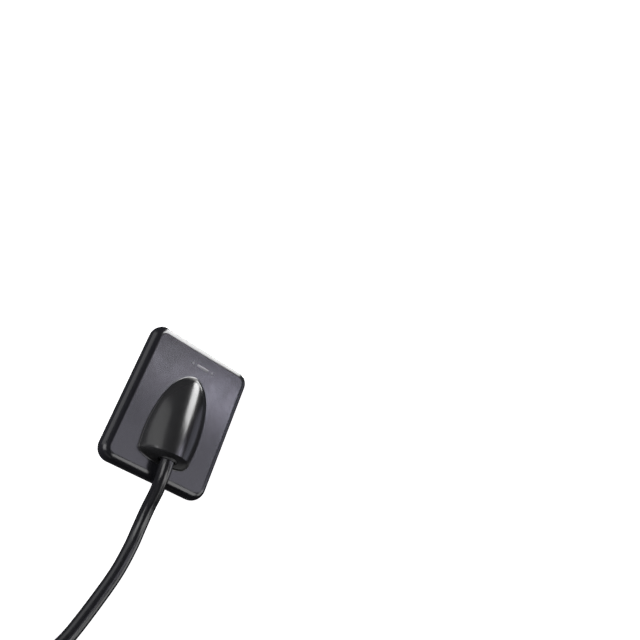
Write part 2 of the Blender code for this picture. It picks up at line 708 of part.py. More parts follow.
def build():
    front_cover()
    back_cover()
    seam_gasket()
    head_layers()
    cable_dome()
    cable_grommet()
    crimp_ferrule()
    cable_anchor()
    head_wires()
    lead()
    cable_tie()
    plug = empty("plug", PLUG_AT)
    plug_shells(plug)
    plug_boot(plug)
    usb_end(plug)
    plug_inside(plug)
    plug_cap()


build()
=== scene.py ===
"""Intraoral X-ray sensor: the finished surfaces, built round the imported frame.

Metres, in the frame of the CAD: the active face lies on the floor at z = 0, the cable dome
stands on the head's back, and the lead leaves it towards -Y.
"""

import json
import math

import bmesh
import bpy
from mathutils import Matrix, Vector

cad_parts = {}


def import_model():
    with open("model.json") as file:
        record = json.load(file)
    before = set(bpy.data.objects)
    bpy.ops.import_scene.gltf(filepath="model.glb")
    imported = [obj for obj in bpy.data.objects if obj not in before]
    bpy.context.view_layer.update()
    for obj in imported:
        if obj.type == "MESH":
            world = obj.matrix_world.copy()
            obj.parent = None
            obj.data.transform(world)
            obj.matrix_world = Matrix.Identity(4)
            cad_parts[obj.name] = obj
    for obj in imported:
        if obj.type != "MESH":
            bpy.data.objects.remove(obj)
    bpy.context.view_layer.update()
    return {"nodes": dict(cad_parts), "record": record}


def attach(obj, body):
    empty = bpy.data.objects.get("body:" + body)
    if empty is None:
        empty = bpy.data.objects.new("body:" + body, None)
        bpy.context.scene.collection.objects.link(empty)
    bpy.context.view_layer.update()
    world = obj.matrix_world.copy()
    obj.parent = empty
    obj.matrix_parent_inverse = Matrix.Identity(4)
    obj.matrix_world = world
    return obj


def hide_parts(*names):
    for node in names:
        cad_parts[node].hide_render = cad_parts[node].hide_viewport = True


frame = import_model()

MM = 0.001

# Head, as in the CAD
HEAD_WIDTH = 36.0 * MM
HEAD_LENGTH = 43.1 * MM
HEAD_THICK = 5.5 * MM
CORNER_R = 4.3 * MM
EDGE_ROUND = 2.6 * MM
WALL = 1.6 * MM
FRONT_WALL = 0.8 * MM
BACK_WALL = 1.0 * MM
SEAM_Z = 2.7 * MM
SEAM_GAP = 0.1 * MM

# Cable dome, as in the CAD, with the fillet round its foot
DOME_TIP_Y = 11.1 * MM
DOME_END_Y = -14.1 * MM
DOME_HALF_WIDTH = 8.9 * MM
DOME_HEIGHT = 8.8 * MM
DOME_NARROWING = 0.7 * MM
DOME_PLAN_POWER = 3.2
DOME_BLUNTNESS = 1.75
DOME_RIDGE_POWER = 1.45
DOME_SECTION_POWER = 1.4
DOME_BULGE = 2.2 * MM
DOME_WALL = 1.0 * MM
FOOT_FILLET = 0.45 * MM
CABLE_HOLE_R = 2.75 * MM

# Cable and its hank, as in the CAD
CABLE_R = 2.0 * MM
EXIT_Z = 9.3 * MM
HANK_CENTRE = Vector((0.2, -118.0, 0.0)) * MM
HANK_LOOP_R = 12.1 * MM
HANK_WAIST = 2.05 * MM
HANK_FLAT = 3.0 * MM
HANK_LEG = 27.0 * MM
HANK_REACH = 6.15 * MM
HANK_LIFT = 0.9 * MM
HANK_HEIGHT = 20.1 * MM
HANK_LAPS = 8.467
TRACK_STEP = 4.05 * MM
LAYER_RISE = 4.0 * MM
LEG_POINTS = 80
LOOP_POINTS = 60
FIRST_LOOP_POINT = 50
POINTS_PER_LAP = 64
STEP_EVERY = 0.95
STEP_LENGTH = 0.1
SAG_REACH = 24 * MM
TIE_WIDTH = 7.0 * MM
TIE_THICK = 0.65 * MM
TIE_GAP = 0.25 * MM

RUN_ROUTE = [
    Vector(p) * MM
    for p in [
        (0.0, -10.6, 9.3), (0.0, -13.5, 9.3), (0.2, -16.5, 9.2), (0.9, -20.0, 8.4),
        (1.9, -24.0, 6.4), (2.6, -28.5, 4.1), (3.2, -33.6, 2.5), (3.3, -39.2, 2.0),
        (2.4, -46.3, 2.0), (0.3, -54.3, 2.0), (-2.6, -63.3, 2.0), (-4.7, -67.6, 2.0),
        (-7.0, -71.2, 2.0),
    ]
]
TAIL_ROUTE = [
    Vector(p) * MM
    for p in [
        (20.6, -148.8, 13.9), (22.9, -145.2, 11.6), (25.7, -138.2, 7.6), (27.2, -131.0, 5.0),
        (27.5, -124.5, 4.05), (27.5, -119.5, 3.9), (27.5, -110.0, 3.9), (27.5, -98.1, 3.9),
    ]
]
# From the hank's top layer out over its edge and down to the tail
DESCENT = [Vector(p) * MM for p in [(12.3, -156.3, 18.0), (16.3, -153.6, 17.6), (18.7, -151.4, 16.2)]]

# Plug: origin at the middle of the body's front face, +Y out of the plug
PLUG_AT = Vector((27.5, -80.0, 3.9)) * MM
PLUG_BODY = Vector((15.6, 22.0, 7.8)) * MM
PLUG_WALL = 1.3 * MM
BOOT_LENGTH = 14.0 * MM
USB_WIDTH = 12.0 * MM
USB_HEIGHT = 4.5 * MM
USB_REACH = 12.0 * MM
USB_INSIDE = -4.0 * MM
USB_WALL = 0.3 * MM
CAP_START = 0.3 * MM
CAP_LENGTH = 13.4 * MM
CAP_WALL = 0.8 * MM
CAP_GAP = 0.22 * MM

# Mark on the head's back: a bar between two dots
MARK_X = 0.8 * MM
MARK_Y = 15.2 * MM
MARK_SPREAD = 3.6 * MM
MARK_HALF_BAR = 1.8 * MM
MARK_R = 0.42 * MM
MARK_RISE = 0.13 * MM
MARK_SIDES = 40

# Finishes and lamps
HEAD_COLOUR, HEAD_ROUGH = (0.012, 0.012, 0.015), 0.18
DOME_COLOUR, DOME_ROUGH = (0.018, 0.018, 0.019), 0.22
VIOLET = (0.95, 0.93, 1.08)
DEEP_VIOLET = (0.93, 0.91, 1.12)
WHITE = (1.0, 1.0, 1.0, 1.0)

scene = bpy.context.scene


# ---- camera ---------------------------------------------------------------------------------

def camera():
    data = bpy.data.cameras.new("camera")
    data.lens = 38.15
    data.sensor_width = 36.0
    data.clip_start = 0.01
    made = bpy.data.objects.new("camera", data)
    made.location = Vector((-85.37, -57.66, 184.68)) * MM
    right = Vector((0.6992, 0.2882, 0.6543))
    up = Vector((-0.5129, 0.8398, 0.1782))
    back = right.cross(up).normalized()
    up = back.cross(right).normalized()
    made.rotation_euler = Matrix((right, up, back)).transposed().to_euler()
    scene.collection.objects.link(made)
    scene.camera = made


# ---- material tools -------------------------------------------------------------------------

class Nodes:
    """A material's node tree, with short ways to add and join nodes."""

    def __init__(self, name):
        self.material = bpy.data.materials.new(name)
        self.material.use_nodes = True
        self.tree = self.material.node_tree
        self.shader = self.tree.nodes["Principled BSDF"]

    def add(self, kind, settings=None, **inputs):
        node = self.tree.nodes.new(kind)
        for key, value in (settings or {}).items():
            setattr(node, key, value)
        for key, value in inputs.items():
            self.give(node, key.replace("_", " "), value)
        return node

    def give(self, node, socket, value):
        if isinstance(value, bpy.types.NodeSocket):
            self.tree.links.new(value, node.inputs[socket])
        else:
            node.inputs[socket].default_value = value

    def place(self, scale=1.0):
        """Object coordinates in metres, times scale."""
        coordinates = self.add("ShaderNodeTexCoord").outputs["Object"]
        node = self.add("ShaderNodeMapping", Vector=coordinates)
        node.inputs["Scale"].default_value = scale if hasattr(scale, "__len__") else (scale,) * 3
        return node.outputs["Vector"]

    def noise(self, size, detail=2.0, roughness=0.5, where=None):
        """Noise with features of about this size in metres."""
        node = self.add("ShaderNodeTexNoise", Vector=where or self.place(), Scale=1 / size,
                        Detail=detail, Roughness=roughness)
        return node.outputs["Fac"]

    def between(self, value, low, high, start=0.3, end=0.7):
        """A value of start to end, spread over low to high."""
        node = self.add("ShaderNodeMapRange", Value=value)
        for name, number in (("From Min", start), ("From Max", end), ("To Min", low),
                             ("To Max", high)):
            node.inputs[name].default_value = number
        return node.outputs["Result"]

    def blend(self, fac, first, second):
        node = self.add("ShaderNodeMix", {"data_type": "RGBA"})
        for socket, value in ((0, fac), (6, first), (7, second)):
            if isinstance(value, bpy.types.NodeSocket):
                self.tree.links.new(value, node.inputs[socket])
            else:
                node.inputs[socket].default_value = value
        return node.outputs[2]

    def sum(self, *terms):
        total = terms[0]
        for term in terms[1:]:
            node = self.add("ShaderNodeMath", {"operation": "ADD"})
            for socket, value in enumerate((total, term)):
                self.tree.links.new(value, node.inputs[socket])
            total = node.outputs[0]
        return total

    def times(self, value, factor):
        node = self.add("ShaderNodeMath", {"operation": "MULTIPLY"})
        self.tree.links.new(value, node.inputs[0])
        if isinstance(factor, bpy.types.NodeSocket):
            self.tree.links.new(factor, node.inputs[1])
        else:
            node.inputs[1].default_value = factor
        return node.outputs[0]

    def bump(self, height, depth):
        """Height from 0 to 1 becomes relief of this depth in metres."""
        node = self.add("ShaderNodeBump", Height=height, Distance=depth)
        self.give(self.shader, "Normal", node.outputs["Normal"])


def tint(colour, factor):
    return (*[channel * factor for channel in colour], 1.0)


def plastic(name, colour, roughness, grain=0.18 * MM, depth=0.004 * MM, contrast=0.08,
            wear=0.25):
    """Moulded plastic: fine spark-eroded grain, faint mottling and paler rubbed edges."""
    nodes = Nodes(name)
    cloud = nodes.noise(9 * MM, 3.0)
    base = nodes.blend(nodes.between(cloud, 0.0, 1.0), tint(colour, 1 - contrast),
                       tint(colour, 1 + contrast))
    edge = nodes.add("ShaderNodeNewGeometry").outputs["Pointiness"]
    rubbed = nodes.times(nodes.between(edge, 0.0, 1.0, 0.52, 0.60),
                         nodes.between(nodes.noise(1.2 * MM, 4.0), 0.2, 1.0))
    base = nodes.blend(nodes.times(rubbed, wear), base, tint(colour, 1.9))
    nodes.give(nodes.shader, "Base Color", base)
    fine = nodes.noise(grain, 3.0)
    smudge = nodes.noise(5 * MM, 4.0, 0.6)
    gloss = nodes.sum(nodes.between(smudge, roughness - 0.03, roughness + 0.04),
                      nodes.between(fine, -0.02, 0.02))
    nodes.give(nodes.shader, "Roughness", gloss)
    nodes.bump(fine, depth)
    return nodes.material


# ---- mesh tools -----------------------------------------------------------------------------

def piece(name, data, finish, body="sensor", replaces=(), place=None):
    """Link a piece, dress it, and let it ride a CAD body."""
    made = bpy.data.objects.new(name, data)
    if place is not None:
        made.matrix_world = place
    scene.collection.objects.link(made)
    data.materials.append(finish)
    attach(made, body)
    if replaces:
        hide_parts(*replaces)
    return made


def mesh_from(bm, name, sharp=35):
    bmesh.ops.recalc_face_normals(bm, faces=bm.faces)
    mesh = bpy.data.meshes.new(name)
    bm.to_mesh(mesh)
    bm.free()
    mesh.shade_smooth()
    mesh.set_sharp_from_angle(angle=math.radians(sharp))
    return mesh


def keep_flats_flat(made):
    """Weight the shading so that flat faces stay flat beside their rounded edges."""
    modifier = made.modifiers.new("flat_faces", "WEIGHTED_NORMAL")
    modifier.keep_sharp = True
    modifier.weight = 100


def rounded_slab(width, length, low, high, corner, segments=5):
    """A block with rounded upright edges, centred on Z, as a bmesh."""
    bm = bmesh.new()
    bmesh.ops.create_cube(bm, size=1.0)
    bmesh.ops.scale(bm, vec=(width, length, high - low), verts=bm.verts)
    bmesh.ops.translate(bm, vec=(0, 0, (low + high) / 2), verts=bm.verts)
    upright = [e for e in bm.edges if abs(e.verts[0].co.z - e.verts[1].co.z) > 1e-6]
    bmesh.ops.bevel(bm, geom=upright, offset=corner, segments=segments, profile=0.5,
                    affect="EDGES")
    return bm


def level_face(bm, up):
    """The widest face that looks up or down."""
    height = (max if up else min)(v.co.z for v in bm.verts)
    flat = [f for f in bm.faces if all(abs(v.co.z - height) < 1e-7 for v in f.verts)]
    return max(flat, key=lambda f: f.calc_area())


def step_face(bm, face, inset, rise):
    """Inset a horizontal face, then pull it along Z by rise."""
    if inset:
        bmesh.ops.inset_region(bm, faces=[face], thickness=inset, use_even_offset=True)
    if rise:
        face = bmesh.ops.extrude_discrete_faces(bm, faces=[face])["faces"][0]
        bmesh.ops.translate(bm, vec=(0, 0, rise), verts=face.verts)
    return face


def round_rim(bm, height, radius, segments):
    """Round the outer rim of the flat face at this height."""
    bm.normal_update()
    rim = []
    for edge in bm.edges:
        level = all(abs(v.co.z - height) < 1e-7 for v in edge.verts)
        if level and any(abs(f.normal.z) < 0.5 for f in edge.link_faces):
            rim.append(edge)
    bmesh.ops.bevel(bm, geom=rim, offset=radius, segments=segments, profile=0.5,
                    affect="EDGES")


def smooth_route(points, spacing):
    """Even points along a Catmull-Rom curve through the given points."""
    ends = [points[0] * 2 - points[1]] + list(points) + [points[-1] * 2 - points[-2]]
    fine = []
    for a, b, c, d in zip(ends, ends[1:], ends[2:], ends[3:]):
        for k in range(16):
            t = k / 16
            fine.append(0.5 * (2 * b + (c - a) * t + (2 * a - 5 * b + 4 * c - d) * t ** 2
                               + (3 * b - a - 3 * c + d) * t ** 3))
    fine.append(points[-1])
    total = sum((b - a).length for a, b in zip(fine, fine[1:]))
    count = max(2, round(total / spacing))
    step = total / count
    even, walked, wanted = [fine[0]], 0.0, step
    for a, b in zip(fine, fine[1:]):
        stretch = (b - a).length
        while walked + stretch >= wanted and len(even) < count:
            even.append(a.lerp(b, (wanted - walked) / stretch))
            wanted += step
        walked += stretch
    even.append(fine[-1])
    return even


def tube(name, points, radius, resolution):
    """A round tube along points, as a poly curve with filled caps."""
    curve = bpy.data.curves.new(name, "CURVE")
    curve.dimensions = "3D"
    curve.bevel_depth = radius
    curve.bevel_resolution = resolution
    curve.use_fill_caps = True
    spline = curve.splines.new("POLY")
    spline.points.add(len(points) - 1)
    for point, at in zip(spline.points, points):
        point.co = (*at, 1.0)
    spline.use_smooth = True
    return curve


# ---- lead -----------------------------------------------------------------------------------

def hank_line():
    """The innermost turn seen from above, anticlockwise in even steps from 150 degrees round
    the far loop: places and outward directions."""
    line = []
    for side in (1, -1):
        for k in range(LEG_POINTS):
            y = HANK_LEG * (2 * k / LEG_POINTS - 1)
            along = max(0.0, abs(y) - HANK_FLAT) / (HANK_LEG - HANK_FLAT)
            swell = (1 - math.cos(math.pi * along)) / 2
            x = HANK_WAIST + (HANK_LOOP_R - HANK_WAIST) * swell
            line.append(Vector((side * x, side * y)))
        for k in range(LOOP_POINTS):
            turn = math.pi * k / LOOP_POINTS
            line.append(Vector((side * HANK_LOOP_R * math.cos(turn),
                                side * (HANK_LEG + HANK_LOOP_R * math.sin(turn)))))
    start = LEG_POINTS + FIRST_LOOP_POINT
    line = line[start:] + line[:start]
    outward = []
    for k in range(len(line)):
        along = (line[(k + 1) % len(line)] - line[k - 1]).normalized()
        outward.append(Vector((along.y, -along.x)))
    return line, outward


def hank_route():
    """Turns two wide and five high. Each step from track to track, or from layer to layer,
    ends before the place where the one below it began."""
    line, outward = hank_line()
    walked = [0.0]
    for k, point in enumerate(line):
        walked.append(walked[-1] + (line[(k + 1) % len(line)] - point).length)
    # which way each step goes: across from the outer track, up, across from the inner, up
    steps = [(-1, 0), (0, 1), (1, 0), (0, 1)] * 2
    points = []
    for n in range(round(HANK_LAPS * POINTS_PER_LAP) + 1):
        laps = n / POINTS_PER_LAP
        track, layer = 1.0, 0.0
        for k, (across, up) in enumerate(steps):
            begin = STEP_EVERY * (k + 1) - STEP_LENGTH / 2
            t = min(1.0, max(0.0, (laps - begin) / STEP_LENGTH))
            ease = (1 - math.cos(math.pi * t)) / 2
            track += across * ease
            layer += up * ease
        want = (laps % 1.0) * walked[-1]
        k = max(i for i, w in enumerate(walked[:-1]) if w <= want)
        t = (want - walked[k]) / (walked[k + 1] - walked[k])
        after = (k + 1) % len(line)
        flat = line[k].lerp(line[after], t) + outward[k].lerp(outward[after], t) * (
            TRACK_STEP * track)
        sag = (1 + math.cos(math.pi * min(1.0, abs(flat.y) / SAG_REACH))) / 2
        height = CABLE_R + LAYER_RISE * layer + HANK_LIFT * sag
        points.append(HANK_CENTRE + Vector((*flat, height)))
    return points


def sensor_lead(finish):
    run = smooth_route(RUN_ROUTE, 1.2 * MM)
    hank = hank_route()
    tail = smooth_route(TAIL_ROUTE, 1.6 * MM)
    into = smooth_route([run[-2], run[-1], (run[-1] + hank[0]) / 2, hank[0], hank[1]], 1.6 * MM)
    out = smooth_route([hank[-2], hank[-1], *DESCENT, tail[0], tail[1]], 1.6 * MM)
    route = run[:-2] + into[:-1] + hank[1:-2] + out[:-1] + tail[1:]
    even = [route[0]]
    for point in route[1:]:
        if (point - even[-1]).length > 0.3 * MM:
            even.append(point)
    curve = tube("sensor_lead", even, CABLE_R, 6)
    return piece("sensor_lead", curve, finish,
                 replaces=("cable_run", "cable_hank", "cable_tail"))


# ---- head -----------------------------------------------------------------------------------

def head_shells(finish):
    bm = rounded_slab(HEAD_WIDTH, HEAD_LENGTH, 0, SEAM_Z, CORNER_R, 16)
    step_face(bm, level_face(bm, True), WALL, FRONT_WALL - SEAM_Z)
    round_rim(bm, 0.0, EDGE_ROUND, 16)
    front = piece("front_shell", mesh_from(bm, "front_shell", 50), finish,
                  replaces=("front_cover",))
    keep_flats_flat(front)

    low = SEAM_Z + SEAM_GAP
    bm = rounded_slab(HEAD_WIDTH, HEAD_LENGTH, low, HEAD_THICK, CORNER_R, 16)
    step_face(bm, level_face(bm, False), WALL, HEAD_THICK - BACK_WALL - low)
    round_rim(bm, HEAD_THICK, EDGE_ROUND, 18)
    back = piece("back_shell", mesh_from(bm, "back_shell", 50), finish,
                 replaces=("back_cover",))
    keep_flats_flat(back)


def raised_mark(finish):
    """A generic orientation mark near the far edge: a bar between two dots, with soft edges."""
    bm = bmesh.new()
    for x, half in ((-MARK_SPREAD, 0.0), (0.0, MARK_HALF_BAR), (MARK_SPREAD, 0.0)):
        loops = []
        for shrink, height in ((0.0, -0.05), (0.0, 0.5), (0.07, 0.85), (0.16, 1.0)):
            ring = []
            radius = MARK_R - shrink * MM
            for k in range(MARK_SIDES):
                turn = 2 * math.pi * k / MARK_SIDES
                side = half if math.cos(turn) > 0 else -half
                ring.append(bm.verts.new((MARK_X + x + side + radius * math.cos(turn),
                                          MARK_Y + radius * math.sin(turn),
                                          HEAD_THICK + MARK_RISE * height)))
            loops.append(ring)
        for a, b in zip(loops, loops[1:]):
            for k in range(MARK_SIDES):
                after = (k + 1) % MARK_SIDES
                bm.faces.new((a[k], a[after], b[after], b[k]))
        bm.faces.new(loops[-1])
        bm.faces.new(loops[0][::-1])
    piece("raised_mark", mesh_from(bm, "raised_mark"), finish)


# ---- cable dome -----------------------------------------------------------------------------

def dome_section(u, inset=0.0):
    """Half width and height of the dome at u: 0 at the cable end, 1 at the tip."""
    narrowing = DOME_NARROWING * max(0.0, 1 - u / 0.35) ** 2
    half = DOME_HALF_WIDTH * (1 - u ** DOME_PLAN_POWER) ** (1 / DOME_BLUNTNESS) - narrowing
    height = DOME_HEIGHT * math.sqrt(1 - u ** DOME_RIDGE_POWER)
    return half - inset, height - inset


def dome_rings(foot, inset, bulge, end_y, rings, end_rings, sides):
    """Arched sections from the tip to the foot of the cable end, each from its left foot to
    its right foot, at this height above the head's back."""
    length = DOME_TIP_Y - DOME_END_Y
    low, high = 0.0, 1.0
    for _ in range(50):
        middle = (low + high) / 2
        if dome_section(middle, inset)[1] > foot:
            low = middle
        else:
            high = middle
    sections = []
    for k in range(rings, -1, -1):
        u = low * math.sin(math.pi / 2 * k / rings)
        y = max(DOME_END_Y + u * length, end_y)
        sections.append((y, *dome_section(u, inset)))
    y, half, height = sections[-1]
    last = (1 - (foot / height) ** 1.25) ** 0.8
    for k in range(1, end_rings + 1):
        out = last * math.sin(math.pi / 2 * k / end_rings)
        sections.append((y - bulge * out, half * math.sqrt(1 - out ** 2),
                         height * (1 - out ** 1.25) ** 0.8))
    loops = []
    for y, half, height in sections:
        start = math.asin(min(1.0, foot / height) ** (1 / DOME_SECTION_POWER))
        turns = [start + (math.pi - 2 * start) * k / sides for k in range(sides + 1)]
        loops.append([Vector((-half * math.cos(t), y, height * math.sin(t) ** DOME_SECTION_POWER))
                      for t in turns])
    return loops


def foot_fillet(bm, outer, steps):
    """Rings of a hollow fillet from the dome's foot down to the head's back."""
    left = [loop[0] for loop in outer]
    right = [loop[-1] for loop in outer]
    contour = left + right[::-1]
    count = len(contour)
    rings = []
    for step in range(1, steps + 1):
        turn = math.pi / 2 * step / steps
        spread, height = FOOT_FILLET * (1 - math.cos(turn)), FOOT_FILLET * (1 - math.sin(turn))
        ring = []
        for k in range(count):
            if k in (0, count - 1):
                normal = Vector((0, 1, 0))
            elif k in (len(left) - 1, len(left)):
                normal = Vector((0, -1, 0))
            else:
                along = contour[(k + 1) % count] - contour[k - 1]
                normal = Vector((-along.y, along.x, 0)).normalized()
                normal = -normal if normal.x * contour[k].x < 0 else normal
            at = contour[k] + normal * spread
            ring.append(bm.verts.new((at.x, at.y, HEAD_THICK + height)))
        rings.append(ring)
    return rings


def cable_dome(finish):
    sides, rings, end_rings, steps = 56, 44, 14, 6
    outer = dome_rings(FOOT_FILLET, 0.0, DOME_BULGE, DOME_END_Y, rings, end_rings, sides)
    inner = dome_rings(0.3 * MM, DOME_WALL, DOME_BULGE - DOME_WALL, DOME_END_Y + DOME_WALL,
                       rings, end_rings, sides)
    bm = bmesh.new()
    lift = Vector((0, 0, HEAD_THICK))
    skins = []
    for loops in (outer, inner):
        skins.append([[bm.verts.new(p + lift) for p in loop] for loop in loops])
    for skin in skins:
        for a, b in zip(skin, skin[1:]):
            for k in range(sides):
                bm.faces.new((a[k], a[k + 1], b[k + 1], b[k]))
    foot_of = [skin[0] for skin in skins[0]] + [skin[-1] for skin in skins[0]][::-1]
    inside = [skin[0] for skin in skins[1]] + [skin[-1] for skin in skins[1]][::-1]
    count = len(foot_of)
    strips = [foot_of, *foot_fillet(bm, outer, steps), inside]
    for a, b in zip(strips, strips[1:]):
        for k in range(count):
            after = (k + 1) % count
            bm.faces.new((a[k], a[after], b[after], b[k]))
    bmesh.ops.remove_doubles(bm, verts=bm.verts, dist=1e-6)
    bmesh.ops.dissolve_degenerate(bm, dist=1e-7, edges=bm.edges)
    made = piece("dome_shell", mesh_from(bm, "dome_shell"), finish,
                 replaces=("cable_dome",))
    carve(made, [cylinder("cable_hole", CABLE_HOLE_R, (0, -20 * MM, EXIT_Z),
                          (0, -11.5 * MM, EXIT_Z), 64)])


def cylinder(name, radius, start, end, sides):
    start, end = Vector(start), Vector(end)
    along = end - start
    bm = bmesh.new()
    bmesh.ops.create_cone(bm, cap_ends=True, segments=sides, radius1=radius, radius2=radius,
                          depth=along.length)
    turn = Vector((0, 0, 1)).rotation_difference(along).to_matrix()
    bmesh.ops.rotate(bm, cent=(0, 0, 0), matrix=turn, verts=bm.verts)
    bmesh.ops.translate(bm, vec=(start + end) / 2, verts=bm.verts)
    made = bpy.data.objects.new(name, mesh_from(bm, name))
    scene.collection.objects.link(made)
    return made


# ---- lead's pieces --------------------------------------------------------------------------

def turned(bm, profile, steps=64):
    """Turn a closed (radius, y) profile round the Y axis."""
    rings = []
    for k in range(steps):
        turn = 2 * math.pi * k / steps
        rings.append([bm.verts.new((r * math.cos(turn), y, r * math.sin(turn)))
                      for r, y in profile])
    for a, b in zip(rings, rings[1:] + rings[:1]):
        for k in range(len(profile)):
            after = (k + 1) % len(profile)
            bm.faces.new((a[k], a[after], b[after], b[k]))


def grommet(finish):
    inner, outer, edge = CABLE_R + 0.2 * MM, 2.6 * MM, 0.2 * MM
    front, back = -12.9 * MM, -15.5 * MM
    profile = [(inner, front), (outer - edge, front), (outer, front - edge), (outer, back + edge),
               (outer - edge, back), (inner + edge, back), (inner, back + edge)]
    bm = bmesh.new()
    turned(bm, profile)
    piece("grommet_ring", mesh_from(bm, "grommet_ring", 50), finish,
          replaces=("cable_grommet",), place=Matrix.Translation((0, 0, EXIT_Z)))


def boot(finish):
    """The ribbed, tapering boot, with rounded ribs and the flange inside the shells."""
    rear = -PLUG_BODY.y
    inner = CABLE_R + 0.2 * MM
    start = rear - BOOT_LENGTH
    ribs, steps = 5, 12
    pitch = (BOOT_LENGTH - 2 * MM) / ribs
    profile = [(inner, start), (2.55 * MM, start), (2.75 * MM, start + 0.2 * MM)]
    for k in range(ribs * steps + 1):
        along = k / steps
        swell = 2.95 * MM + min(ribs - 1, along) * 0.16 * MM
        wave = 0.5 - 0.5 * math.cos(2 * math.pi * along)
        profile.append((swell - 0.4 * MM * (1 - wave ** 0.35), start + 1 * MM + along * pitch))
    profile += [(3.5 * MM, rear - 0.95 * MM), (3.7 * MM, rear - 0.7 * MM),
                (3.7 * MM, rear - 0.4 * MM), (3.6 * MM, rear - 0.3 * MM),
                (2.7 * MM, rear - 0.3 * MM), (2.7 * MM, rear + 1.5 * MM), (inner, rear + 1.5 * MM)]
    bm = bmesh.new()
    turned(bm, profile)
    piece("boot_ribbed", mesh_from(bm, "boot_ribbed", 50), finish,
          replaces=("plug_boot",), place=Matrix.Translation(PLUG_AT))


def applied(made):
    """Bake the piece's modifiers into its mesh."""
    bpy.context.view_layer.update()
    result = bpy.data.meshes.new_from_object(made.evaluated_get(
        bpy.context.evaluated_depsgraph_get()))
    made.modifiers.clear()
    made.data = result
    made.data.shade_smooth()
    made.data.set_sharp_from_angle(angle=math.radians(40))


def carve(made, cutters):
    for cutter in cutters:
        cut = made.modifiers.new("cut", "BOOLEAN")
        cut.operation = "DIFFERENCE"
        cut.solver = "MANIFOLD"
        cut.object = cutter
    applied(made)
    for cutter in cutters:
        bpy.data.objects.remove(cutter)


def box_cutter(size, centre, edge=0.0):
    bm = bmesh.new()
    bmesh.ops.create_cube(bm, size=1.0)
    bmesh.ops.scale(bm, vec=size, verts=bm.verts)
    if edge:
        bmesh.ops.bevel(bm, geom=bm.edges[:], offset=edge, segments=3, profile=0.5,
                        affect="EDGES")
    bmesh.ops.translate(bm, vec=centre, verts=bm.verts)
    made = bpy.data.objects.new("cutter", mesh_from(bm, "cutter"))
    scene.collection.objects.link(made)
    return made


def plug_halves(finish):
    """Two half shells with rounded edges and thumb grooves across the top."""
    width, length, height = PLUG_BODY
    for name, node, side in (("shell_top", "plug_shell_upper", 1),
                             ("shell_bottom", "plug_shell_lower", -1)):
        low, high = (0.1 * MM, height / 2) if side > 0 else (-height / 2, 0.0)
        bm = rounded_slab(width, length, low, high, 2.2 * MM, 10)
        step_face(bm, level_face(bm, side < 0), PLUG_WALL, side * (height / 2 - PLUG_WALL))
        round_rim(bm, side * height / 2, 1.2 * MM, 8)
        middle = PLUG_AT + Vector((0, -length / 2, 0))
        made = piece(name, mesh_from(bm, name, 50), finish,
                     replaces=(node,), place=Matrix.Translation(middle))
        cutters = [box_cutter((USB_WIDTH + 0.3 * MM, 6 * MM, USB_HEIGHT + 0.3 * MM), PLUG_AT),
                   cylinder("neck", 2.85 * MM, PLUG_AT + Vector((0, -length - 2 * MM, 0)),
                            PLUG_AT + Vector((0, -length + 3 * MM, 0)), 48)]
        for k in range(5):
            at = middle + Vector((0, (-6.4 + 1.5 * k) * MM, side * (height / 2 + 0.05 * MM)))
            cutters.append(box_cutter((9.0 * MM, 0.7 * MM, 0.7 * MM), at, 0.2 * MM))
        carve(made, cutters)
        keep_flats_flat(made)


def usb_metal(finish):
    """The folded plug shell with its four latch holes and a softened mouth."""
    half_x, half_z = USB_WIDTH / 2, USB_HEIGHT / 2
    bm = bmesh.new()
    rings = []
    for y, grow in ((USB_INSIDE, 0.0), (USB_REACH - 0.25 * MM, 0.0), (USB_REACH, -0.08 * MM)):
        pair = []
        for inset, corner in ((-grow, 0.5 * MM), (USB_WALL + grow * 0.3, 0.25 * MM)):
            ring = []
            for cx, cz, first in ((1, 1, 0), (-1, 1, 90), (-1, -1, 180), (1, -1, 270)):
                for k in range(5):
                    turn = math.radians(first + 22.5 * k)
                    ring.append(bm.verts.new((
                        cx * (half_x - inset - corner) + corner * math.cos(turn), y,
                        cz * (half_z - inset - corner) + corner * math.sin(turn))))
            pair.append(ring)
        rings.append(pair)
    count = len(rings[0][0])
    for low, high in zip(rings, rings[1:]):
        for skin in (0, 1):
            for k in range(count):
                after = (k + 1) % count
                bm.faces.new((low[skin][k], low[skin][after], high[skin][after], high[skin][k]))
    for pair in (rings[0], rings[-1]):
        for k in range(count):
            after = (k + 1) % count
            bm.faces.new((pair[0][k], pair[0][after], pair[1][after], pair[1][k]))
    made = piece("usb_sleeve", mesh_from(bm, "usb_sleeve", 40), finish,
                 replaces=("usb_shell",), place=Matrix.Translation(PLUG_AT))
    carve(made, [box_cutter((2.2 * MM, 2.4 * MM, 3 * MM), PLUG_AT + Vector((x * MM, 6.2 * MM,
                            side * half_z))) for x in (-2.9, 2.9) for side in (-1, 1)]
          + [box_cutter((0.12 * MM, 30 * MM, 0.8 * MM), PLUG_AT + Vector((0, 0, -half_z)))])


